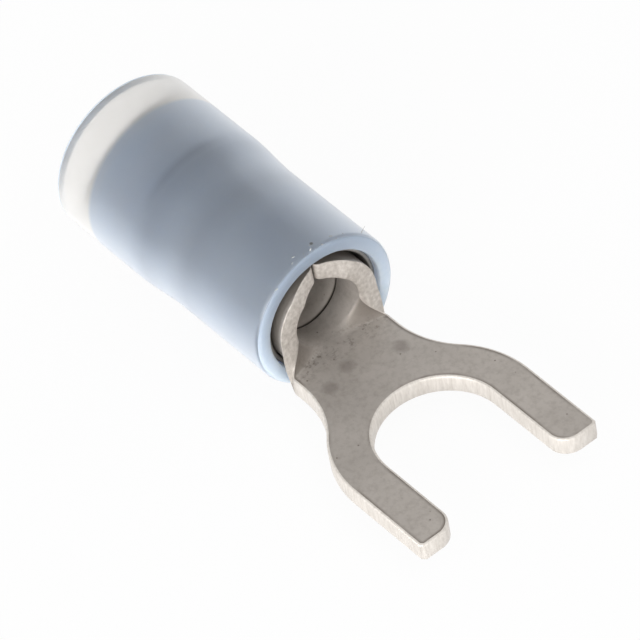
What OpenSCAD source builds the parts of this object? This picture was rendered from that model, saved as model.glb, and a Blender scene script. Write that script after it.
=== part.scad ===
// Insulated fork terminal for a stranded wire, in three pieces.
// A stamped sheet makes the fork tongue, the neck and the rolled wire barrel.
// A thin metal sleeve round the barrel grips the wire's insulation.
// A translucent moulded sleeve covers both.
// Millimetres. X runs out of the fork's mouth, Y across the tongue, Z up.
// The origin is the centre of the slot's round end, on the tongue's underside.

/* [Sheet] */
// Thickness of the sheet that the tongue, neck and barrel are stamped from
sheet = 0.8; // [0.6:0.05:1]

/* [Fork tongue] */
// Width of the slot between the tines
slot_width = 5.1; // [3.6:0.1:5.6]
// Width of the tongue across both tines
tongue_width = 8.5; // [7.8:0.1:10]
// Length of the tines ahead of the centre of the slot's round end
tine_reach = 4; // [2.5:0.1:7]
// Radius of the inner corner of each tine's tip, which leads the stud in
tine_lead = 0.8; // [0.2:0.05:1]
// Chamfer of the outer corner of each tine's tip
tine_chamfer = 0.15; // [0.05:0.05:0.3]
// Radius of the fillet between the neck and the round of the tongue
neck_fillet = 4; // [2:0.25:6]

/* [Neck] */
// Width of the neck, measured along the sheet
neck_width = 4.66; // [3.8:0.02:5.2]
// Length over which the sheet goes from the barrel's curve to flat
roll_up = 0.6; // [0.4:0.05:1.2]
// Distance behind the barrel's front edge at which its bottom begins to open out
roll_start = 0.55; // [0.2:0.05:0.7]
// Length over which the neck narrows from the roots of the barrel's wings
wing_run = 0.2; // [0.1:0.05:0.6]

/* [Wire barrel] */
// Diameter of the hole for the wire
barrel_bore = 3; // [2.4:0.1:3.6]
// Length of the barrel
barrel_length = 6; // [4:0.1:7]
// Distance from the centre of the slot's round end back to the barrel's front edge
barrel_back = 6.2; // [5.8:0.1:8]
// Gap between the butted edges along the top of the barrel
seam_gap = 0.06; // [0.02:0.01:0.2]
// Width of the groove that the rounded edges leave along the seam
seam_groove_width = 0.6; // [0.2:0.05:1]
// Depth of that groove
seam_groove_depth = 0.4; // [0.1:0.05:0.5]
// Set-back of the front edge where it meets the seam
seam_set_back = 0.35; // [0.1:0.05:0.6]
// Half of the width over which the front edge slants back to the seam
seam_slant = 1.3; // [0.8:0.1:1.5]
// Size of the chamfer inside the barrel's rear end
wire_lead = 0.3; // [0.1:0.05:0.5]
// Number of serrations rolled across the inside of the barrel
serration_count = 3; // [1:1:3]
// Distance from the barrel's front edge back to the first serration
serration_first = 1.5; // [1:0.1:1.7]
// Spacing of the serrations
serration_pitch = 1.2; // [0.8:0.1:1.6]
// Width of each serration
serration_width = 0.14; // [0.08:0.02:0.3]
// Depth of each serration
serration_depth = 0.1; // [0.04:0.02:0.2]

/* [Grip sleeve] */
// Radial clearance between the barrel and the grip sleeve
grip_clearance = 0.1; // [0.02:0.01:0.2]
// Wall of the grip sleeve
grip_wall = 0.18; // [0.12:0.02:0.3]
// Length of the grip sleeve
grip_length = 9.8; // [9:0.05:10.5]
// Depth of the grip sleeve's front edge behind the front face of the moulded sleeve
grip_inset = 0.25; // [0:0.05:0.5]

/* [Moulded sleeve] */
// Distance that the barrel stands out of the front face
barrel_proud = 0.2; // [0:0.05:0.6]
// Length that the moulded sleeve runs on behind the grip sleeve
cover_tail = 2.03; // [1.6:0.01:4]
// Wall of the moulded sleeve
cover_wall = 0.64; // [0.46:0.02:0.8]
// Radial clearance between the grip sleeve and the moulded sleeve
cover_clearance = 0.02; // [0.01:0.01:0.05]
// Increase in radius from the front part to the rear part of both sleeves
step_rise = 0.15; // [0.05:0.05:0.4]
// Distance from the front face back to the middle of that step
step_back = 6.5; // [5:0.1:7.5]
// Length of the step
step_length = 2.4; // [1:0.1:3]
// Radius of the outer edge of the front face
front_round = 0.12; // [0.04:0.02:0.35]
// Radius of the outer edge of the rear end
rear_round = 0.14; // [0.04:0.02:0.3]
// Thickness of the rear lip
rear_lip = 0.34; // [0.3:0.02:0.44]
// Length of the funnel that leads the wire in
funnel_length = 1.2; // [0.6:0.1:1.5]

/* [Hidden] */
$fn = 96;

// Tongue: the round head is centred on the slot's round end.
slot_r = slot_width / 2;
head_r = tongue_width / 2;
neck_half = neck_width / 2;
fillet_y = neck_half + neck_fillet;
fillet_x = -sqrt(pow(head_r + neck_fillet, 2) - pow(fillet_y, 2));
tangent_x = fillet_x * head_r / (head_r + neck_fillet);
tangent_y = fillet_y * head_r / (head_r + neck_fillet);

// Barrel: its underside is level with the tongue's underside.
bore_r = barrel_bore / 2;
barrel_r = bore_r + sheet;
barrel_mid_r = bore_r + sheet / 2;
barrel_x = -barrel_back;
flat_x = barrel_x + max(roll_up, wing_run);
least_rise = 0.1;
root_half = max(PI / 2 * barrel_mid_r, neck_half + least_rise);
root_rise = root_half - neck_half;

// The neck's loft runs a little way into the barrel's wall and into the tongue.
lap = 0.3;
lap_inset = 0.01;
root_lap = 0.15;
flat_lap = 0.05;
loft_across = 12;
loft_inside = 6;
loft_corner = 6;
loft_along = 6;

// Grip sleeve: the barrel lies on the bottom of its bore.
grip_bore_r = barrel_r + grip_clearance;
grip_r = grip_bore_r + grip_wall;
grip_axis_z = grip_bore_r;
cover_x = barrel_x - barrel_proud;
grip_front_x = cover_x - grip_inset;
grip_rear_x = grip_front_x - grip_length;

// Moulded sleeve: an inner shoulder behind the grip sleeve seats it.
cover_bore_r = grip_r + cover_clearance;
cover_r = cover_bore_r + cover_wall;
cover_rear_x = grip_rear_x - cover_tail;
step_front = step_back - step_length / 2;
step_parts = 8;
round_parts = 6;
past = 1;

// Points of an arc from one angle to another
function arc(cx, cy, r, from, to, parts) =
    [for (i = [0:parts]) let (a = from + (to - from) * i / parts) [cx + r * cos(a), cy + r * sin(a)]];

// Share of the step that has been climbed at a share of its length
function climb(u) = u * u * (3 - 2 * u);

// Points along the step for a wall whose front radius is r, from front to rear
function step_points(r) =
    [for (i = [0:step_parts]) let (u = i / step_parts)
        [r + step_rise * climb(u), cover_x - step_front - step_length * u]];

// Half width of the flat neck at a place along X
function neck_side(x) =
    neck_half + (x > fillet_x ? neck_fillet - sqrt(pow(neck_fillet, 2) - pow(x - fillet_x, 2)) : 0);

// Share by which the sheet has opened out from the barrel's curve to flat; its middle opens first
function opened(x, across) =
    let (start = barrel_x - roll_start * (1 - pow(min(1, abs(across) / root_half), 2)))
    climb(min(1, max(0, (x - start) / roll_up)));

// Point of the sheet at a distance across it and a height from its middle
function bent(x, across, height) =
    let (w = opened(x, across), around = across / barrel_mid_r * 180 / PI, turn = (1 - w) * around)
    [x,
     (1 - w) * barrel_mid_r * sin(around) + w * across - height * sin(turn),
     (1 - w) * (barrel_r - barrel_mid_r * cos(around)) + w * sheet / 2 + height * cos(turn)];

// Places along the neck and the half width of the sheet there
loft_rows = concat(
    [[barrel_x - roll_start - lap, root_half]],
    [for (i = [0:loft_inside - 1]) [barrel_x - roll_start * (1 - i / loft_inside), root_half]],
    [for (i = [0:loft_corner]) let (a = 90 * i / loft_corner, x = barrel_x + wing_run * (1 - cos(a)))
        [x, neck_side(x) + root_rise * (1 - sin(a))]],
    [for (i = [1:loft_along])
        let (x = barrel_x + wing_run + (flat_x + flat_lap - barrel_x - wing_run) * i / loft_along)
        [x, neck_side(x)]],
    [[flat_x + lap, neck_side(flat_x)]]);

// Body of the fork with its slot and tine tips
module tongue() {
    difference() {
        linear_extrude(sheet) difference() {
            union() {
                circle(head_r);
                translate([0, -head_r]) square([tine_reach, tongue_width]);
                translate([flat_x, -tangent_y]) square([tangent_x - flat_x, 2 * tangent_y]);
            }
            for (side = [-1, 1]) {
                translate([fillet_x, side * fillet_y]) circle(neck_fillet);
                if (fillet_x > flat_x)
                    translate([flat_x - past, side > 0 ? neck_half : -neck_half - past])
                        square([fillet_x - flat_x + past, past]);
            }
        }
        translate([0, 0, -past]) cylinder(r = slot_r, h = sheet + 2 * past);
        translate([0, -slot_r, -past]) cube([tine_reach + past, slot_width, sheet + 2 * past]);
        for (side = [0, 1]) mirror([0, side, 0]) translate([0, 0, -past]) linear_extrude(sheet + 2 * past) {
            difference() {
                translate([tine_reach - tine_lead, slot_r - past]) square([tine_lead + past, tine_lead + past]);
                translate([tine_reach - tine_lead, slot_r + tine_lead]) circle(tine_lead);
            }
            translate([tine_reach, head_r])
                polygon([[-tine_chamfer, past], [-tine_chamfer, 0], [0, -tine_chamfer], [past, -tine_chamfer],
                         [past, past]]);
        }
    }
}

// Neck: the flat strip rolls up into the bottom of the barrel, between the roots of its wings
module neck() {
    count = 2 * loft_across + 1;
    ring = 2 * count;
    rows = len(loft_rows);
    half = sheet / 2 - lap_inset;
    points = [for (row = loft_rows) each concat(
        [for (j = [-loft_across:loft_across]) bent(row[0], (row[1] - lap_inset) * j / loft_across, half)],
        [for (j = [loft_across:-1:-loft_across]) bent(row[0], (row[1] - lap_inset) * j / loft_across, -half)])];
    skin = [for (i = [0:rows - 2]) for (j = [0:ring - 1])
        let (a = i * ring + j, b = i * ring + (j + 1) % ring)
        each [[a, b, a + ring], [b, b + ring, a + ring]]];
    first = [for (j = [0:count - 2]) let (a = j, d = ring - 1 - j)
        each [[a, d, a + 1], [a + 1, d, d - 1]]];
    start = (rows - 1) * ring;
    last = [for (j = [0:count - 2]) let (a = start + j, d = start + ring - 1 - j)
        each [[a, a + 1, d], [a + 1, d - 1, d]]];
    polyhedron(points, concat(skin, first, last));
}

// Barrel: rolled from the sheet, with its edges butted along the top
module barrel() {
    difference() {
        translate([barrel_x - barrel_length, 0, barrel_r]) rotate([0, 90, 0]) difference() {
            cylinder(r = barrel_r, h = barrel_length);
            translate([0, 0, -past]) cylinder(r = bore_r, h = barrel_length + 2 * past);
            translate([0, 0, -wire_lead]) cylinder(r1 = bore_r + 2 * wire_lead, r2 = bore_r, h = 2 * wire_lead);
            for (i = [0:serration_count - 1])
                translate([0, 0, barrel_length - serration_first - i * serration_pitch - serration_width / 2])
                    cylinder(r = bore_r + serration_depth, h = serration_width);
        }
        translate([barrel_x - barrel_length - past, -seam_gap / 2, barrel_r])
            cube([barrel_length + 2 * past, seam_gap, barrel_r + past]);
        translate([barrel_x - barrel_length - past, 0, 2 * barrel_r]) rotate([90, 0, 90])
            linear_extrude(barrel_length + 2 * past)
                polygon([[0, -seam_groove_depth], [seam_groove_width / 2, 0], [seam_groove_width / 2, past],
                         [-seam_groove_width / 2, past], [-seam_groove_width / 2, 0]]);
        translate([barrel_x - roll_start, -barrel_r - past, -past])
            cube([roll_start + past, 2 * (barrel_r + past), barrel_r - root_lap + past]);
        translate([barrel_x, 0, barrel_r]) linear_extrude(barrel_r + past)
            polygon([[-seam_set_back, 0], [0, -seam_slant], [past, -seam_slant], [past, seam_slant], [0, seam_slant]]);
    }
}

// Stamped and rolled sheet, one piece
module terminal_body() {
    color("#a39c94") union() {
        tongue();
        neck();
        barrel();
    }
}

// Turned shape about the sleeves' axis, from points of radius and place along X
module turned(points) {
    translate([0, 0, grip_axis_z]) rotate([0, 90, 0]) rotate_extrude() polygon(points);
}

// Thin drawn tube, wider behind the step
module grip_sleeve() {
    inner = step_points(grip_bore_r);
    outer = step_points(grip_r);
    color("#b9a993") turned(concat(
        [[grip_bore_r, grip_front_x]], inner, [[grip_bore_r + step_rise, grip_rear_x]],
        [[grip_r + step_rise, grip_rear_x]], [for (i = [step_parts:-1:0]) outer[i]], [[grip_r, grip_front_x]]));
}

// Moulded sleeve with rounded ends, a shoulder for the grip sleeve and a wire funnel
module cover_sleeve() {
    inner = step_points(cover_bore_r);
    outer = step_points(cover_r);
    rear_bore_r = grip_bore_r + step_rise;
    rear_r = cover_r + step_rise;
    funnel_r = rear_r - rear_lip;
    funnel = [for (i = [0:step_parts]) let (u = i / step_parts)
        [rear_bore_r + (funnel_r - rear_bore_r) * (1 - cos(90 * u)), cover_rear_x + funnel_length * (1 - sin(90 * u))]];
    color("#9db1c9") turned(concat(
        [[cover_bore_r, cover_x]], inner, [[cover_bore_r + step_rise, grip_rear_x]],
        [[rear_bore_r, grip_rear_x]], funnel,
        arc(rear_r - rear_round, cover_rear_x + rear_round, rear_round, -90, 0, round_parts),
        [for (i = [step_parts:-1:0]) outer[i]],
        arc(cover_r - front_round, cover_x - front_round, front_round, 0, 90, round_parts)));
}

terminal_body();
grip_sleeve();
cover_sleeve();
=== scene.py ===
import math
import random
import bmesh
import bpy
from mathutils import Matrix, Vector


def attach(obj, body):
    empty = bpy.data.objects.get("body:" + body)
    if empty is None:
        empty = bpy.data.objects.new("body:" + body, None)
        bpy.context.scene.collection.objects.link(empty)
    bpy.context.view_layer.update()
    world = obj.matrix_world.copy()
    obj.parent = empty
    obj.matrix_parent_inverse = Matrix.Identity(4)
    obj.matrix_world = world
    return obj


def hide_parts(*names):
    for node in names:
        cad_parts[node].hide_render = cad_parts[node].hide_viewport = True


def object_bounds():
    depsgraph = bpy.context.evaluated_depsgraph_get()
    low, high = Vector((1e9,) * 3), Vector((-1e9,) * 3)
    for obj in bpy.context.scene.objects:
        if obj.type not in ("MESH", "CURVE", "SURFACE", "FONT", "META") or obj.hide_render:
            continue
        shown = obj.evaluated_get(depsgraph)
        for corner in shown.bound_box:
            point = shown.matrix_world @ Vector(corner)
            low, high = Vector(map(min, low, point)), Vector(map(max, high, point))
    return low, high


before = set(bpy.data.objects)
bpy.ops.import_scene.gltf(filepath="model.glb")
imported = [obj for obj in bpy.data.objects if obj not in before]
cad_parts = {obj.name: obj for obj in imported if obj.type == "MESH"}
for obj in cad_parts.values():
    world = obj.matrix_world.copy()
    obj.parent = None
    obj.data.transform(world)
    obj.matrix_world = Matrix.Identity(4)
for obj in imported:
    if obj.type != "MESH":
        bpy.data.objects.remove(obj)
cad_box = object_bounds()

# Terminal body
# One strip of copper sheet, blanked with its fork slot, rolled into the wire barrel at the rear and
# electro-tinned. The blank is laid out flat here and then bent: the neck rolls up from flat to the
# barrel's curve, and the two wings meet in a seam along the top. Sizes are in millimetres.
MM = 0.001
sheet = 0.8
slot_r = 2.55
head_r = 4.25
tine_reach = 4.0
tine_lead = 0.8
tine_chamfer = 0.15
neck_half = 2.33
neck_fillet = 4.0
barrel_r = 2.3
barrel_x = -6.2
barrel_length = 6.0
roll_up = 0.6
roll_start = 0.55
wing_run = 0.2
seam_gap = 0.06
seam_set_back = 0.35
seam_slant = 1.3
seam_corner = 0.3
seam_corner_start = 15
bend_r = barrel_r - sheet / 2
wing_half = math.pi * bend_r - seam_gap / 2
flat_x = barrel_x + roll_up
root_half = math.pi / 2 * bend_r
fillet_y = neck_half + neck_fillet
fillet_x = -math.sqrt((head_r + neck_fillet) ** 2 - fillet_y ** 2)
head_angle = math.degrees(math.atan2(fillet_y, fillet_x))


def arc(cx, cy, r, start, end, parts):
    """Points of an arc, angles in degrees."""
    turns = [math.radians(start + (end - start) * i / parts) for i in range(parts + 1)]
    return [(cx + r * math.cos(turn), cy + r * math.sin(turn)) for turn in turns]


# Half of the flat blank, from the slot's root round the tine, the neck and the wing to the rear end
half_blank = arc(0, 0, slot_r, 180, 90, 32)
half_blank += arc(tine_reach - tine_lead, slot_r + tine_lead, tine_lead, -90, 0, 12)
half_blank += [(tine_reach, head_r - tine_chamfer), (tine_reach - tine_chamfer, head_r)]
half_blank += arc(0, 0, head_r, 90, head_angle, 24)
half_blank += arc(fillet_x, fillet_y, neck_fillet, head_angle - 180, -90, 24)[1:]
half_blank += [(barrel_x + wing_run * (1 + x), neck_half + (root_half - neck_half) * (1 + y))
               for x, y in arc(0, 0, 1, -90, -180, 12)]
half_blank += [(barrel_x, wing_half - seam_slant)]
half_blank += arc(barrel_x - seam_set_back - seam_corner, wing_half - seam_corner, seam_corner,
                  seam_corner_start, 90, 8)
half_blank += [(barrel_x - barrel_length, wing_half)]
blank = half_blank + [(x, -y) for x, y in reversed(half_blank[1:])]


def inward(points):
    """Unit normals into a closed outline, mitred at its corners."""
    corners = [Vector(point) for point in points]
    preceding = corners[-1:] + corners[:-1]
    following = corners[1:] + corners[:1]
    area = sum(here.cross(after) for here, after in zip(corners, following))
    sign = 1 if area > 0 else -1
    steepest_mitre = 0.5
    normals = []
    for before, here, after in zip(preceding, corners, following):
        arriving = (here - before).normalized()
        leaving = (after - here).normalized()
        normal = Vector((-arriving.y - leaving.y, arriving.x + leaving.x)) * sign
        normal.normalize()
        square = Vector((-arriving.y, arriving.x)) * sign
        normals.append(normal / max(steepest_mitre, normal.dot(square)))
    return normals


# The shear leaves a rolled upper edge and a sharp lower one, and the wings' outer corners are
# rounded along the seam. Rows of vertices follow the outline from the top face down to the underside,
# and those of the rolled edge carry the mark "rim" for the dirt that gathers there.
top = sheet / 2
rim_width = 0.12
roll_edge = 0.10
sharp_edge = 0.03
seam_round = 0.28
slack = 0.001
strip = bmesh.new()
rim_layer = strip.verts.layers.float.new("rim")
normals = inward(blank)
rim_inset = roll_edge + rim_width
rows = [[strip.verts.new((x + normal.x * rim_inset, y + normal.y * rim_inset, top))
         for (x, y), normal in zip(blank, normals)]]
for inset, depth in arc(roll_edge, roll_edge, roll_edge, -90, -180, 4):
    row = []
    for (x, y), normal in zip(blank, normals):
        vertex = strip.verts.new((x + normal.x * inset, y + normal.y * inset, top - depth))
        vertex[rim_layer] = 1.0
        row.append(vertex)
    rows.append(row)
for step in range(3):
    row = []
    for (x, y), normal in zip(blank, normals):
        edge_r = seam_round if abs(y) > wing_half - slack else sharp_edge
        inset, rise = arc(edge_r, edge_r, edge_r, 180, 270, 2)[step]
        row.append(strip.verts.new((x + normal.x * inset, y + normal.y * inset, rise - top)))
    rows.append(row)
edge_layer = strip.faces.layers.int.new("sheared")
for upper, lower in zip(rows, rows[1:]):
    for i in range(len(blank)):
        j = (i + 1) % len(blank)
        face = strip.faces.new((upper[i], lower[i], lower[j], upper[j]))
        face[edge_layer] = 0 if upper is rows[0] else 1
strip.faces.new(rows[0])
strip.faces.new(rows[-1])
bmesh.ops.recalc_face_normals(strip, faces=strip.faces)


def cut(where, direction, reach):
    """Cuts the flat blank at a distance along a direction, in the faces behind a place along X."""
    faces = [face for face in strip.faces if min(vertex.co.x for vertex in face.verts) < reach]
    geometry = set(faces)
    for face in faces:
        geometry.update(face.edges)
        geometry.update(face.verts)
    bmesh.ops.bisect_plane(strip, geom=list(geometry), dist=slack / 100,
                           plane_co=direction * where, plane_no=direction)


# Cuts across the neck and along the barrel, close enough for the sheet to bend smoothly
lengthways = Vector((1, 0, 0))
sideways = Vector((0, 1, 0))
bend_margin = 0.03
bend_cuts = 28
wing_cuts = 48
cut(flat_x + bend_margin, lengthways, tine_reach)
cut(barrel_x, lengthways, tine_reach)
for i in range(bend_cuts):
    cut(flat_x - (roll_up + roll_start) * (i + 0.5) / bend_cuts, lengthways, flat_x)
# Serrations rolled across the inside of the barrel, which bite into the strands
groove_half = 0.07
groove_depth = 0.10
groove_stop = 0.3
groove_first = 1.5
groove_pitch = 1.2
groove_count = 3
grooves = [barrel_x - groove_first - groove_pitch * i for i in range(groove_count)]
for groove_x in grooves:
    for offset in (-groove_half, 0, groove_half):
        cut(groove_x + offset, lengthways, barrel_x)
for i in range(-wing_cuts, wing_cuts + 1):
    cut(wing_half * i / (wing_cuts + 0.5), sideways, flat_x)


def ease(share):
    """A smooth run from 0 to 1."""
    return share * share * (3 - 2 * share)


# The bend: flatness runs from 0 in the barrel to 1 on the tongue, and the middle of the sheet starts
# to flatten farther back than the wings
for vertex in strip.verts:
    x, y, height = vertex.co
    if height > top - slack and abs(y) < wing_half - groove_stop:
        nearest = min(abs(x - groove_x) for groove_x in grooves)
        if nearest < groove_half * 0.5:
            height -= groove_depth
    start = barrel_x - roll_start * (1 - min(1.0, abs(y) / root_half) ** 2)
    flatness = ease(min(1.0, max(0.0, (x - start) / roll_up)))
    around = y / bend_r
    lean = around * (1 - flatness)
    rolled_y = bend_r * math.sin(around)
    rolled_z = barrel_r - bend_r * math.cos(around)
    bent_y = (1 - flatness) * rolled_y + flatness * y - height * math.sin(lean)
    bent_z = (1 - flatness) * rolled_z + flatness * top + height * math.cos(lean)
    vertex.co = (x, bent_y, bent_z)
bmesh.ops.scale(strip, vec=(MM, MM, MM), verts=strip.verts)
body_mesh = bpy.data.meshes.new("terminal_body_tinned")
strip.to_mesh(body_mesh)
sheared = [face[edge_layer] for face in strip.faces]
strip.free()
for polygon, material_index in zip(body_mesh.polygons, sheared):
    polygon.material_index = material_index
body = bpy.data.objects.new("terminal_body_tinned", body_mesh)
bpy.context.collection.objects.link(body)


def shade_evenly(piece):
    """Smooth shading in which the large faces stay flat."""
    for polygon in piece.data.polygons:
        polygon.use_smooth = True
    weighted = piece.modifiers.new("even shading", "WEIGHTED_NORMAL")
    weighted.mode = "FACE_AREA"
    weighted.weight = 100


shade_evenly(body)


def linear(text):
    """Linear colour of an sRGB hex value."""
    parts = [int(text[i:i + 2], 16) / 255 for i in (1, 3, 5)]
    return tuple(c / 12.92 if c <= 0.04045 else ((c + 0.055) / 1.055) ** 2.4 for c in parts) + (1.0,)


def add(tree, kind, settings=None, links=None):
    """One shader node with its settings, and links from the sockets that feed its inputs."""
    made = tree.nodes.new(kind)
    for key, value in (settings or {}).items():
        if isinstance(key, str) and hasattr(made, key):
            setattr(made, key, value)
        else:
            made.inputs[key].default_value = value
    for key, socket in (links or {}).items():
        tree.links.new(socket, made.inputs[key])
    return made


def new_finish(piece, name):
    """A new material on a piece: its node tree, its shader and its coordinates."""
    made = bpy.data.materials.new(name)
    made.use_nodes = True
    piece.data.materials.append(made)
    return made.node_tree, made.node_tree.nodes["Principled BSDF"], add(made.node_tree, "ShaderNodeTexCoord")


# Electro-tinned copper, as plated: a soft grey satin with a warm cast. It spreads reflections wide
# and shows fine grit, small dark specks and rubbed smudges. A colour mix takes its share at input 0
# and its two colours at inputs 6 and 7, and gives output 2.
tree, shader, place = new_finish(body, "electro_tinned_copper")
along = add(tree, "ShaderNodeSeparateXYZ", {}, {0: place.outputs["Object"]})
# Clouds of handling
cloud_width = 3.03
clouds = add(tree, "ShaderNodeTexNoise",
             {"Scale": 1 / (cloud_width * MM), "Detail": 6.0, "Roughness": 0.6},
             {"Vector": place.outputs["Object"]})
tone = add(tree, "ShaderNodeValToRGB", {}, {"Fac": clouds.outputs["Fac"]})
for stop, position, colour in zip(tone.color_ramp.elements, (0.3, 0.7), ("#aea7a0", "#beb7b0")):
    stop.position = position
    stop.color = linear(colour)
# Mottle of the plating
mottle_width = 0.25
mottle = add(tree, "ShaderNodeTexNoise",
             {"Scale": 1 / (mottle_width * MM), "Detail": 5.0, "Roughness": 0.7},
             {"Vector": place.outputs["Object"]})
mottle_mask = add(tree, "ShaderNodeMapRange", {"From Min": 0.45, "From Max": 0.75, "To Max": 0.45},
                  {"Value": mottle.outputs["Fac"]})
mottled = add(tree, "ShaderNodeMix", {"data_type": "RGBA", 7: linear("#8a8179")},
              {0: mottle_mask.outputs["Result"], 6: tone.outputs["Color"]})
# Dark specks, one in each space
speck_space = 0.5263
speck_core_r = 0.02105
speck_edge_r = 0.04737
specks = add(tree, "ShaderNodeTexVoronoi", {"Scale": 1 / (speck_space * MM)},
             {"Vector": place.outputs["Object"]})
speck_mask = add(tree, "ShaderNodeMapRange",
                 {"From Min": speck_core_r / speck_space, "From Max": speck_edge_r / speck_space,
                  "To Min": 0.8, "To Max": 0.0},
                 {"Value": specks.outputs["Distance"]})
speckled = add(tree, "ShaderNodeMix", {"data_type": "RGBA", 7: linear("#6d655e")},
               {0: speck_mask.outputs["Result"], 6: mottled.outputs[2]})
shade = speckled.outputs[2]
# Painted shade in a dark line along each of the barrel's grooves
for groove_x in grooves:
    off = add(tree, "ShaderNodeMath", {"operation": "SUBTRACT", 1: groove_x * MM}, {0: along.outputs["X"]})
    away = add(tree, "ShaderNodeMath", {"operation": "ABSOLUTE"}, {0: off.outputs[0]})
    line = add(tree, "ShaderNodeMapRange",
               {"From Min": groove_half * MM, "From Max": groove_half * 0.5 * MM},
               {"Value": away.outputs[0]})
    groove_shaded = add(tree, "ShaderNodeMix", {"data_type": "RGBA", 7: linear("#3a342e")},
                {0: line.outputs["Result"], 6: shade})
    shade = groove_shaded.outputs[2]
# Painted shade in the bend, in short streaks
crease_x = -5.95
crease_half = 0.8
streak_length = 0.2222
streak_width = 0.3125
smear = add(tree, "ShaderNodeMapping",
            {"Scale": (1 / (streak_length * MM), 1 / (streak_width * MM), 1 / (streak_width * MM))},
            {"Vector": place.outputs["Object"]})
streaks = add(tree, "ShaderNodeTexNoise", {"Scale": 1.0, "Detail": 6.0, "Roughness": 0.7},
              {"Vector": smear.outputs["Vector"]})
off = add(tree, "ShaderNodeMath", {"operation": "SUBTRACT", 1: crease_x * MM}, {0: along.outputs["X"]})
away = add(tree, "ShaderNodeMath", {"operation": "ABSOLUTE"}, {0: off.outputs[0]})
band = add(tree, "ShaderNodeMapRange", {"From Min": crease_half * MM, "From Max": 0.0},
           {"Value": away.outputs[0]})
dark = add(tree, "ShaderNodeMapRange", {"From Min": 0.52, "From Max": 0.66, "To Max": 0.8},
           {"Value": streaks.outputs["Fac"]})
bend_shade = add(tree, "ShaderNodeMath", {"operation": "MULTIPLY"},
            {0: band.outputs["Result"], 1: dark.outputs["Result"]})
bend_shaded = add(tree, "ShaderNodeMix", {"data_type": "RGBA", 7: linear("#574c42")},
              {0: bend_shade.outputs[0], 6: shade})
shade = bend_shaded.outputs[2]
# Three rubbed marks on the neck
mark_core_r = 0.15
mark_edge_r = 0.42
for mark_x, mark_y in ((-4.21, 1.6), (-4.52, -1.59), (-4.92, -0.45)):
    apart = add(tree, "ShaderNodeVectorMath",
                {"operation": "DISTANCE", 1: Vector((mark_x, mark_y, sheet)) * MM},
                {0: place.outputs["Object"]})
    worn = add(tree, "ShaderNodeMapRange",
               {"From Min": mark_edge_r * MM, "From Max": mark_core_r * MM, "To Max": 0.4},
               {"Value": apart.outputs["Value"]})
    marked = add(tree, "ShaderNodeMix", {"data_type": "RGBA", 7: linear("#6f665e")},
                 {0: worn.outputs["Result"], 6: shade})
    shade = marked.outputs[2]
# Grey-brown dirt along the rolled rim of the top face, in patches
rim = add(tree, "ShaderNodeAttribute", {"attribute_name": "rim"})
patchy = add(tree, "ShaderNodeMapRange", {"From Min": 0.42, "From Max": 0.62, "To Max": 0.9},
             {"Value": clouds.outputs["Fac"]})
rim_dirt = add(tree, "ShaderNodeMath", {"operation": "MULTIPLY"},
               {0: rim.outputs["Fac"], 1: patchy.outputs["Result"]})
rimmed = add(tree, "ShaderNodeMix", {"data_type": "RGBA", 7: linear("#665c52")},
             {0: rim_dirt.outputs[0], 6: shade})
shade = rimmed.outputs[2]
# Painted shade on the barrel's outside, from just behind its front edge, in the narrow gap of the mouth
outside_depth = 0.06
outside_full = 0.02
mouth_start = 0.02
mouth_full = 0.2
across = add(tree, "ShaderNodeVectorMath", {"operation": "MULTIPLY", 1: (0, 1, 1)},
             {0: place.outputs["Object"]})
apart = add(tree, "ShaderNodeVectorMath", {"operation": "DISTANCE", 1: (0, 0, barrel_r * MM)},
            {0: across.outputs["Vector"]})
outside = add(tree, "ShaderNodeMapRange",
              {"From Min": (barrel_r - outside_depth) * MM, "From Max": (barrel_r - outside_full) * MM},
              {"Value": apart.outputs["Value"]})
in_mouth = add(tree, "ShaderNodeMapRange",
               {"From Min": (barrel_x - mouth_start) * MM, "From Max": (barrel_x - mouth_full) * MM,
                "To Max": 0.8},
               {"Value": along.outputs["X"]})
gap_shade = add(tree, "ShaderNodeMath", {"operation": "MULTIPLY"},
             {0: outside.outputs["Result"], 1: in_mouth.outputs["Result"]})
gap_shaded = add(tree, "ShaderNodeMix", {"data_type": "RGBA", 7: linear("#6a635b")},
               {0: gap_shade.outputs[0], 6: shade})
shade = gap_shaded.outputs[2]
# Painted shade on the tight bends beside the barrel, which face forward: their colour is darker
facing = add(tree, "ShaderNodeSeparateXYZ", {}, {0: place.outputs["Normal"]})
forward_shade = add(tree, "ShaderNodeMapRange", {"From Min": 0.15, "From Max": 0.75, "To Max": 0.85},
            {"Value": facing.outputs["X"]})
forward_shaded = add(tree, "ShaderNodeMix", {"data_type": "RGBA", 7: linear("#7c746c")},
             {0: forward_shade.outputs["Result"], 6: shade})
# Satin that varies with the clouds, and the grit of the plating
rough = add(tree, "ShaderNodeMapRange",
            {"From Min": 0.3, "From Max": 0.7, "To Min": 0.5, "To Max": 0.6},
            {"Value": clouds.outputs["Fac"]})
grit_width = 0.0833
grit = add(tree, "ShaderNodeTexNoise", {"Scale": 1 / (grit_width * MM), "Detail": 3.0},
           {"Vector": place.outputs["Object"]})
bump = add(tree, "ShaderNodeBump", {"Strength": 0.12, "Distance": 0.04 * MM},
           {"Height": grit.outputs["Fac"]})
tree.links.new(forward_shaded.outputs[2], shader.inputs["Base Color"])
tree.links.new(rough.outputs["Result"], shader.inputs["Roughness"])
tree.links.new(bump.outputs["Normal"], shader.inputs["Normal"])
shader.inputs["Metallic"].default_value = 0.4

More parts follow.
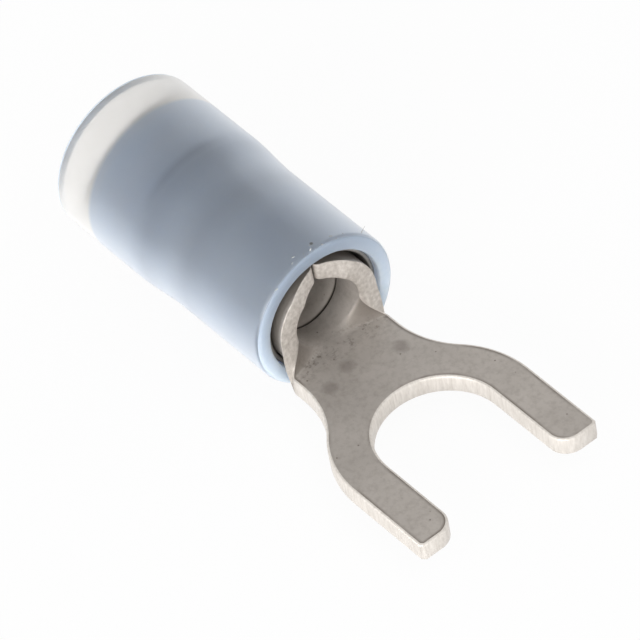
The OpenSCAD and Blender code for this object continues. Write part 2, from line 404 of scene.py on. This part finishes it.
# The same tin over the sheared edge: the cut is granular and scatters more light, so it looks paler,
# with streaks through the sheet's thickness
tree, shader, place = new_finish(body, "tinned_sheared_edge")
grain_width = 0.125
grain_length = 0.6667
stretch = add(tree, "ShaderNodeMapping",
              {"Scale": (1 / (grain_width * MM), 1 / (grain_width * MM), 1 / (grain_length * MM))},
              {"Vector": place.outputs["Object"]})
grains = add(tree, "ShaderNodeTexNoise", {"Scale": 1.0, "Detail": 4.0, "Roughness": 0.65},
             {"Vector": stretch.outputs["Vector"]})
tone = add(tree, "ShaderNodeValToRGB", {}, {"Fac": grains.outputs["Fac"]})
for stop, position, colour in zip(tone.color_ramp.elements, (0.3, 0.65), ("#cfc8c0", "#e4ded7")):
    stop.position = position
    stop.color = linear(colour)
bump = add(tree, "ShaderNodeBump", {"Strength": 0.35, "Distance": 0.06 * MM},
           {"Height": grains.outputs["Fac"]})
# From the bend back along the barrel the edge is greyer, in small patches
patch_width = 0.1667
grey_lead = 0.1
along = add(tree, "ShaderNodeSeparateXYZ", {}, {0: place.outputs["Object"]})
rolled = add(tree, "ShaderNodeMapRange", {"From Min": flat_x * MM, "From Max": (barrel_x + grey_lead) * MM},
             {"Value": along.outputs["X"]})
rubs = add(tree, "ShaderNodeTexNoise", {"Scale": 1 / (patch_width * MM), "Detail": 4.0},
           {"Vector": place.outputs["Object"]})
rub_mask = add(tree, "ShaderNodeMapRange", {"From Min": 0.3, "From Max": 0.7, "To Min": 0.3},
               {"Value": rubs.outputs["Fac"]})
greyer = add(tree, "ShaderNodeMath", {"operation": "MULTIPLY"},
             {0: rolled.outputs["Result"], 1: rub_mask.outputs["Result"]})
rubbed = add(tree, "ShaderNodeMix", {"data_type": "RGBA", 7: linear("#b0a8a0")},
             {0: greyer.outputs[0], 6: tone.outputs["Color"]})
tree.links.new(rubbed.outputs[2], shader.inputs["Base Color"])
tree.links.new(bump.outputs["Normal"], shader.inputs["Normal"])
shader.inputs["Metallic"].default_value = 0.4
shader.inputs["Roughness"].default_value = 0.5
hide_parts("terminal_body")
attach(body, "root")

# Grip sleeve
# A thin drawn tube of tinned copper, slipped over the barrel. It is wider behind a step, where the
# wire's insulation goes in, and its edges are cut square.
grip_bore_r = 2.4
grip_wall = 0.18
grip_axis_z = 2.4
grip_front_x = -6.65
grip_rear_x = -16.45
grip_lip = 0.04
cover_x = -6.4
step_rise = 0.15
step_front = 5.3
step_length = 2.4
step_x = cover_x - step_front
grip_r = grip_bore_r + grip_wall


def step_line(r):
    """Front-to-rear points of a wall through the step, from its front radius."""
    parts = 16
    shares = [i / parts for i in range(parts + 1)]
    return [(r + step_rise * ease(share), step_x - step_length * share) for share in shares]


def turned(name, profile):
    """A closed profile of radius and place along X, turned about the sleeves' axis."""
    sides = 160
    shape = bmesh.new()
    rings = []
    for i in range(sides):
        turn = 2 * math.pi * i / sides
        rings.append([shape.verts.new((x * MM, r * math.cos(turn) * MM,
                                       (grip_axis_z + r * math.sin(turn)) * MM)) for r, x in profile])
    for i in range(sides):
        one = rings[i]
        two = rings[(i + 1) % sides]
        for j in range(len(profile)):
            k = (j + 1) % len(profile)
            shape.faces.new((one[j], one[k], two[k], two[j]))
    bmesh.ops.recalc_face_normals(shape, faces=shape.faces)
    mesh = bpy.data.meshes.new(name)
    shape.to_mesh(mesh)
    shape.free()
    piece = bpy.data.objects.new(name, mesh)
    bpy.context.collection.objects.link(piece)
    shade_evenly(piece)
    return piece


profile = [(grip_bore_r + grip_lip, grip_front_x), (grip_bore_r, grip_front_x - grip_lip)]
profile += step_line(grip_bore_r)
profile += [(grip_bore_r + step_rise, grip_rear_x + grip_lip),
            (grip_bore_r + step_rise + grip_lip, grip_rear_x)]
profile += [(grip_r + step_rise - grip_lip, grip_rear_x), (grip_r + step_rise, grip_rear_x + grip_lip)]
profile += step_line(grip_r)[::-1]
profile += [(grip_r, grip_front_x - grip_lip), (grip_r - grip_lip, grip_front_x)]
grip = turned("grip_sleeve_tinned", profile)

# Drawn and tinned copper tube: more of a mirror than the sheet, with faint lines along the draw
tree, shader, place = new_finish(grip, "drawn_tinned_tube")
draw_length = 8.333
draw_space = 0.1538
stretch = add(tree, "ShaderNodeMapping",
              {"Scale": (1 / (draw_length * MM), 1 / (draw_space * MM), 1 / (draw_space * MM))},
              {"Vector": place.outputs["Object"]})
lines = add(tree, "ShaderNodeTexNoise", {"Scale": 1.0, "Detail": 3.0}, {"Vector": stretch.outputs["Vector"]})
tone = add(tree, "ShaderNodeValToRGB", {}, {"Fac": lines.outputs["Fac"]})
for stop, position, colour in zip(tone.color_ramp.elements, (0.3, 0.7), ("#9b9894", "#adaaa6")):
    stop.position = position
    stop.color = linear(colour)
bump = add(tree, "ShaderNodeBump", {"Strength": 0.08, "Distance": 0.03 * MM},
           {"Height": lines.outputs["Fac"]})
tree.links.new(tone.outputs["Color"], shader.inputs["Base Color"])
tree.links.new(bump.outputs["Normal"], shader.inputs["Normal"])
shader.inputs["Metallic"].default_value = 0.8
shader.inputs["Roughness"].default_value = 0.55
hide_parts("grip_sleeve")
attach(grip, "root")

# Cover sleeve
# Translucent nylon with a faint blue tint, moulded, trimmed at its ends and pushed over the grip
# sleeve. Its ends are rounded and matte, and its rear end runs on behind the metal with a funnel for
# the wire.
cover_bore_r = 2.6
cover_r = 3.24
cover_rear_x = -18.48
bore_lip = 0.05
front_round = 0.22
rear_round = 0.14
rear_lip = 0.34
funnel_length = 1.2
rear_bore_r = grip_bore_r + step_rise
rear_r = cover_r + step_rise
funnel_rise = rear_r - rear_lip - rear_bore_r
profile = [(cover_bore_r + bore_lip, cover_x), (cover_bore_r, cover_x - bore_lip)]
profile += step_line(cover_bore_r)
profile += [(cover_bore_r + step_rise, grip_rear_x), (rear_bore_r, grip_rear_x)]
profile += [(rear_bore_r + funnel_rise * (1 - c), cover_rear_x + funnel_length * (1 - s))
            for c, s in arc(0, 0, 1, 0, 90, 12)]
profile += arc(rear_r - rear_round, cover_rear_x + rear_round, rear_round, -90, 0, 10)
profile += step_line(cover_r)[::-1]
profile += arc(cover_r - front_round, cover_x - front_round, front_round, 0, 90, 10)
cover = turned("cover_sleeve_nylon", profile)

# Nylon, moulded: clear enough to show the tube under it, slightly milky, with a satin skin
tree, shader, place = new_finish(cover, "translucent_nylon")
along = add(tree, "ShaderNodeSeparateXYZ", {}, {0: place.outputs["Object"]})
# Flow clouds in the moulding
flow_width = 4.0
flow = add(tree, "ShaderNodeTexNoise", {"Scale": 1 / (flow_width * MM), "Detail": 4.0},
           {"Vector": place.outputs["Object"]})
tone = add(tree, "ShaderNodeValToRGB", {}, {"Fac": flow.outputs["Fac"]})
for stop, position, colour in zip(tone.color_ramp.elements, (0.3, 0.7), ("#c8d4e4", "#d4deea")):
    stop.position = position
    stop.color = linear(colour)
shade = tone.outputs["Color"]
# Painted shade in soft dark bands about the step, one narrow and two broad: each has a place, half a
# width, a depth of colour and a reach to both sides of a line near the top
band_shift = 0.5
step_shade_bands = (
    (step_x - step_length + 0.5, 0.3, 0.3, 2.2),
    (step_x - step_length + 0.9, 0.8, 0.12, 8.0),
    (step_x + 0.9, 1.1, 0.14, 8.0),
)
shifted = add(tree, "ShaderNodeMath", {"operation": "ADD", 1: band_shift * MM}, {0: along.outputs["Y"]})
aside = add(tree, "ShaderNodeMath", {"operation": "ABSOLUTE"}, {0: shifted.outputs[0]})
for band_x, band_half, band_depth, band_reach in step_shade_bands:
    fading = add(tree, "ShaderNodeMapRange",
                 {"From Min": band_reach * MM, "From Max": band_reach * 0.4 * MM},
                 {"Value": aside.outputs[0]})
    off = add(tree, "ShaderNodeMath", {"operation": "SUBTRACT", 1: band_x * MM}, {0: along.outputs["X"]})
    away = add(tree, "ShaderNodeMath", {"operation": "ABSOLUTE"}, {0: off.outputs[0]})
    band = add(tree, "ShaderNodeMapRange",
               {"From Min": band_half * MM, "From Max": 0.0, "To Min": 0.0, "To Max": band_depth},
               {"Value": away.outputs[0]})
    share = add(tree, "ShaderNodeMath", {"operation": "MULTIPLY"},
                {0: band.outputs["Result"], 1: fading.outputs["Result"]})
    step_shaded = add(tree, "ShaderNodeMix", {"data_type": "RGBA", 7: linear("#6f7888")},
                 {0: share.outputs[0], 6: shade})
    shade = step_shaded.outputs[2]
# Specks of dirt, few and far between
speck_space = 1.667
speck_core_r = 0.05
speck_edge_r = 0.0917
specks = add(tree, "ShaderNodeTexVoronoi", {"Scale": 1 / (speck_space * MM)},
             {"Vector": place.outputs["Object"]})
speck_mask = add(tree, "ShaderNodeMapRange",
                 {"From Min": speck_edge_r / speck_space, "From Max": speck_core_r / speck_space,
                  "To Max": 0.85},
                 {"Value": specks.outputs["Distance"]})
specked = add(tree, "ShaderNodeMix", {"data_type": "RGBA", 7: linear("#5d564e")},
              {0: speck_mask.outputs["Result"], 6: shade})
# Painted light: behind the tube nothing dark lies under the nylon, and there it is painted a paler cream for
# the light that passes through
tail_blur = 0.1
lit_tail_mask = add(tree, "ShaderNodeMapRange",
           {"From Min": (grip_rear_x + tail_blur) * MM, "From Max": (grip_rear_x - tail_blur) * MM},
           {"Value": along.outputs["X"]})
lit_tail = add(tree, "ShaderNodeMix", {"data_type": "RGBA", 7: linear("#f2f0ed")},
             {0: lit_tail_mask.outputs["Result"], 6: specked.outputs[2]})
# Skin of the mould
skin_width = 0.1111
skin = add(tree, "ShaderNodeTexNoise", {"Scale": 1 / (skin_width * MM), "Detail": 2.0},
           {"Vector": place.outputs["Object"]})
bump = add(tree, "ShaderNodeBump", {"Strength": 0.05, "Distance": 0.03 * MM},
           {"Height": skin.outputs["Fac"]})
# A slanting view passes through more of the milky wall, so less of the tube shows
slant = add(tree, "ShaderNodeLayerWeight", {"Blend": 0.5})
clear = add(tree, "ShaderNodeMapRange",
            {"From Min": 0.3, "From Max": 0.87, "To Min": 0.8, "To Max": 0.1},
            {"Value": slant.outputs["Facing"]})
tree.links.new(lit_tail.outputs[2], shader.inputs["Base Color"])
tree.links.new(bump.outputs["Normal"], shader.inputs["Normal"])
tree.links.new(clear.outputs["Result"], shader.inputs["Transmission Weight"])
shader.inputs["Roughness"].default_value = 0.35
shader.inputs["IOR"].default_value = 1.53
shader.inputs["Subsurface Weight"].default_value = 1.0
shader.inputs["Subsurface Radius"].default_value = (1.0, 1.0, 1.0)
shader.inputs["Subsurface Scale"].default_value = 0.5 * MM
shader.inputs["Sheen Weight"].default_value = 0.8
shader.inputs["Sheen Roughness"].default_value = 0.4

# Nylon, trimmed: the cut ends are matte, scatter the light that runs along the wall, and glow pale
tree, shader, place = new_finish(cover, "cut_nylon")
along = add(tree, "ShaderNodeSeparateXYZ", {}, {0: place.outputs["Object"]})
# Marks of the trimming
trim_width = 0.2
marks = add(tree, "ShaderNodeTexNoise", {"Scale": 1 / (trim_width * MM), "Detail": 3.0},
            {"Vector": place.outputs["Object"]})
tone = add(tree, "ShaderNodeValToRGB", {}, {"Fac": marks.outputs["Fac"]})
for stop, position, colour in zip(tone.color_ramp.elements, (0.3, 0.7), ("#d2e0ef", "#dae6f3")):
    stop.position = position
    stop.color = linear(colour)
# Painted shade on the front end: it is darker towards its top
pale_z = 1.5
dark_z = 5.2
middle_x = (cover_x + cover_rear_x) / 2
upper = add(tree, "ShaderNodeMapRange", {"From Min": pale_z * MM, "From Max": dark_z * MM},
            {"Value": along.outputs["Z"]})
in_front = add(tree, "ShaderNodeMath", {"operation": "GREATER_THAN", 1: middle_x * MM},
               {0: along.outputs["X"]})
share = add(tree, "ShaderNodeMath", {"operation": "MULTIPLY"},
            {0: upper.outputs["Result"], 1: in_front.outputs[0]})
glow = add(tree, "ShaderNodeMix", {"data_type": "RGBA", 7: linear("#9ba7b6")},
           {0: share.outputs[0], 6: tone.outputs["Color"]})
tree.links.new(glow.outputs[2], shader.inputs["Base Color"])
shader.inputs["Roughness"].default_value = 0.5
shader.inputs["IOR"].default_value = 1.53
shader.inputs["Transmission Weight"].default_value = 0.1
shader.inputs["Subsurface Weight"].default_value = 1.0
shader.inputs["Subsurface Radius"].default_value = (1.0, 1.0, 1.0)
shader.inputs["Subsurface Scale"].default_value = 0.5 * MM
# The cut faces reach a little way into the front round and right round the rear one
front_cut_share = 0.3
front_cut_x = cover_x - front_round * front_cut_share
rear_cut_x = cover_rear_x + rear_round
for polygon in cover.data.polygons:
    trimmed = polygon.center.x > front_cut_x * MM or polygon.center.x < rear_cut_x * MM
    polygon.material_index = 1 if trimmed else 0
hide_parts("cover_sleeve")
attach(cover, "root")

# Nylon burrs
# Thin flakes of the sleeve's own nylon, torn up along the top of the front rim where the end was
# trimmed, and one whisker that stands out beside them. They lie on the rim's round.
burr_count = 11
burr_width_share = 0.35
burr_half_thickness = 0.015
whisker_length = 0.32
whisker_root_r = 0.03
whisker_tip_r = 0.008
whisker_sunk = 0.032
whisker_back = 0.25
whisker_turn = math.radians(44)
burr_shape = bmesh.new()
pick = random.Random(7)
for i in range(burr_count):
    turn = math.radians(pick.uniform(60, 128))
    back_by = pick.uniform(0.05, 0.4)
    in_round = max(0.0, front_round - back_by)
    r = cover_r - front_round + math.sqrt(front_round ** 2 - in_round ** 2)
    length = pick.uniform(0.03, 0.11)
    foot = Vector((cover_x - back_by, r * math.cos(turn), grip_axis_z + r * math.sin(turn))) * MM
    spin = Matrix.Rotation(pick.uniform(0, math.pi), 4, "Z")
    lie = Matrix.Rotation(turn - math.pi / 2, 4, "X") @ spin
    flake = Matrix.Diagonal((length * MM, length * burr_width_share * MM, burr_half_thickness * MM, 1))
    bmesh.ops.create_icosphere(burr_shape, subdivisions=2, radius=1.0,
                               matrix=Matrix.Translation(foot) @ lie @ flake)
whisker_r = cover_r + whisker_length / 2 - whisker_sunk
foot = Vector((cover_x - whisker_back, whisker_r * math.cos(whisker_turn),
               grip_axis_z + whisker_r * math.sin(whisker_turn))) * MM
lie = Matrix.Rotation(whisker_turn - math.pi / 2, 4, "X")
bmesh.ops.create_cone(burr_shape, cap_ends=True, segments=8, radius1=whisker_root_r * MM,
                      radius2=whisker_tip_r * MM, depth=whisker_length * MM,
                      matrix=Matrix.Translation(foot) @ lie)
burr_mesh = bpy.data.meshes.new("nylon_burrs")
burr_shape.to_mesh(burr_mesh)
burr_shape.free()
burrs = bpy.data.objects.new("nylon_burrs", burr_mesh)
bpy.context.collection.objects.link(burrs)

# Nylon, torn: a fine grain that scatters nearly all the light, so the flakes look dull and pale
tree, shader, place = new_finish(burrs, "torn_nylon")
torn_width = 0.05
torn = add(tree, "ShaderNodeTexNoise", {"Scale": 1 / (torn_width * MM), "Detail": 2.0},
           {"Vector": place.outputs["Object"]})
tone = add(tree, "ShaderNodeValToRGB", {}, {"Fac": torn.outputs["Fac"]})
for stop, colour in zip(tone.color_ramp.elements, ("#b4b8bd", "#dedcd8")):
    stop.color = linear(colour)
tree.links.new(tone.outputs["Color"], shader.inputs["Base Color"])
shader.inputs["Roughness"].default_value = 0.7
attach(burrs, "root")

# Floor and light
# A white sweep under the part, seen at full white, with a soft shadow left in it. The light is a
# pale tent, bright low down all round and greyer overhead, with two broad soft lamps.
floor_gap = 0.02
floor_half = 600
floor_z = min(cad_box[0][2], cad_box[1][2]) - floor_gap * MM
reach = floor_half * MM
corners = [(-reach, -reach), (reach, -reach), (reach, reach), (-reach, reach)]
floor_mesh = bpy.data.meshes.new("white_sweep")
floor_mesh.from_pydata([(x, y, floor_z) for x, y in corners], [], [(0, 1, 2, 3)])
floor = bpy.data.objects.new("white_sweep", floor_mesh)
bpy.context.collection.objects.link(floor)

# White paper: the share that is seen as plain white leaves the rest to show the shadow
white_share = 0.94
white = bpy.data.materials.new("white_paper")
white.use_nodes = True
floor_mesh.materials.append(white)
tree = white.node_tree
tree.nodes.remove(tree.nodes["Principled BSDF"])
rays = add(tree, "ShaderNodeLightPath")
looked = add(tree, "ShaderNodeMath", {"operation": "MAXIMUM"},
             {0: rays.outputs["Is Camera Ray"], 1: rays.outputs["Is Glossy Ray"]})
seen = add(tree, "ShaderNodeMath", {"operation": "MAXIMUM"},
           {0: looked.outputs[0], 1: rays.outputs["Is Transmission Ray"]})
share = add(tree, "ShaderNodeMath", {"operation": "MULTIPLY", 1: white_share}, {0: seen.outputs[0]})
paper = add(tree, "ShaderNodeBsdfDiffuse", {"Color": linear("#f6f6f6")})
glow = add(tree, "ShaderNodeEmission", {"Color": linear("#ffffff"), "Strength": 1.0})
mixed = add(tree, "ShaderNodeMixShader", {},
            {0: share.outputs[0], 1: paper.outputs[0], 2: glow.outputs[0]})
tree.links.new(mixed.outputs[0], tree.nodes["Material Output"].inputs["Surface"])

horizon_level = 1.06
overhead_level = 0.42
world = bpy.data.worlds.new("pale_tent")
bpy.context.scene.world = world
world.use_nodes = True
tree = world.node_tree
place = add(tree, "ShaderNodeTexCoord")
height = add(tree, "ShaderNodeSeparateXYZ", {}, {0: place.outputs["Generated"]})
dome = add(tree, "ShaderNodeValToRGB", {}, {"Fac": height.outputs["Z"]})
for stop, position, level in zip(dome.color_ramp.elements, (0.15, 0.85), (horizon_level, overhead_level)):
    stop.position = position
    stop.color = (level, level, level, 1)
tree.links.new(dome.outputs["Color"], tree.nodes["Background"].inputs["Color"])
tree.nodes["Background"].inputs["Strength"].default_value = 1.1

lamp_length = 250
lamp_width = 180
lamp_aim = Vector((-7, 0, 0)) * MM
lamps = (("soft_box", 0.12, (120, 60, 270)), ("front_box", 0.8, (130, -250, 50)))
for name, watts, spot in lamps:
    lamp_data = bpy.data.lights.new(name, "AREA")
    lamp_data.shape = "RECTANGLE"
    lamp_data.size = lamp_length * MM
    lamp_data.size_y = lamp_width * MM
    lamp_data.energy = watts
    lamp = bpy.data.objects.new(name, lamp_data)
    lamp.location = Vector(spot) * MM
    lamp.rotation_euler = (lamp_aim - lamp.location).to_track_quat("-Z", "Y").to_euler()
    bpy.context.collection.objects.link(lamp)

# Camera
# A long lens looks down on the terminal from ahead and to the right of the fork's mouth,
# with the fork at the lower right and the sleeve running away to the upper left.
azimuth = math.radians(58.85)
elevation = math.radians(46.33)
tilt = math.radians(-11.16)
distance = 275
target = Vector((-7.481, 0.331, 0.8)) * MM
level_back = Vector((math.sin(azimuth), -math.cos(azimuth), 0))
level_right = Vector((math.cos(azimuth), math.sin(azimuth), 0))
back = level_back * math.cos(elevation) + Vector((0, 0, math.sin(elevation)))
level_up = back.cross(level_right)
right = level_right * math.cos(tilt) + level_up * math.sin(tilt)
up = level_up * math.cos(tilt) - level_right * math.sin(tilt)
camera_data = bpy.data.cameras.new("camera")
camera_data.sensor_width = 36
camera_data.lens = 412.6
camera_data.clip_start = 10 * MM
camera = bpy.data.objects.new("camera", camera_data)
facing_out = Matrix((right, up, back)).transposed()
camera.matrix_world = Matrix.Translation(target + back * distance * MM) @ facing_out.to_4x4()
bpy.context.collection.objects.link(camera)
bpy.context.scene.camera = camera

bpy.context.scene.view_settings.view_transform = "Standard"
